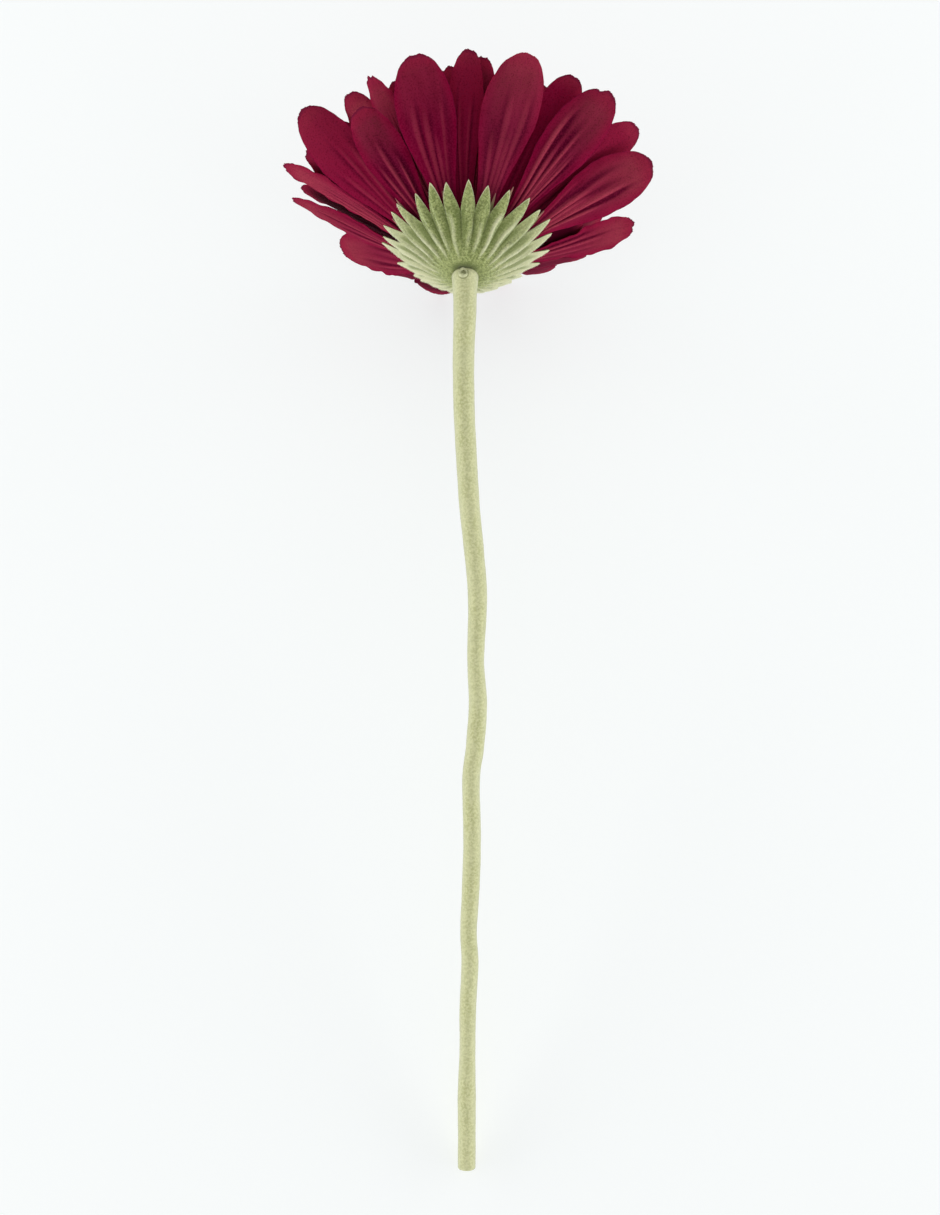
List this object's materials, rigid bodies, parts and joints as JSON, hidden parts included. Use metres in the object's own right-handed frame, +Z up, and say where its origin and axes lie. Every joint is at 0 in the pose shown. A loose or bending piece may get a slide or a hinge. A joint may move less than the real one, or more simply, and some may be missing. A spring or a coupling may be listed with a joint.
{
  "type": "cut gerbera",
  "caption": "Cut gerbera lying on its side: wavy leafless stem, cup of pointed green bracts, and a bowl of layered crimson ray petals round short inner florets and a dark eye.",
  "frame": {"origin": "on the surface that the flower lies on, under the centre of its box", "axes": "+Y from the cut end of the stem towards the bloom, +Z up, +X to the right seen from the stem"},
  "size_m": [0.1062, 0.2952, 0.0976],
  "materials": {
    "stem": "pale green with a short soft flock",
    "bracts": "sage green with a short soft flock and paler edges",
    "petals": "matt velvety crimson with pressed ridges",
    "inner_florets": "matt velvety crimson",
    "eye": "dark brown red with paler tips"
  },
  "bodies": {
    "root": {"stem": "stem", "bract_cup": "bracts", "outer_ray_petals": "petals", "middle_ray_petals": "petals", "inner_ray_petals": "petals", "short_florets": "inner_florets", "disc_florets": "eye"}
  },
  "joints": []
}
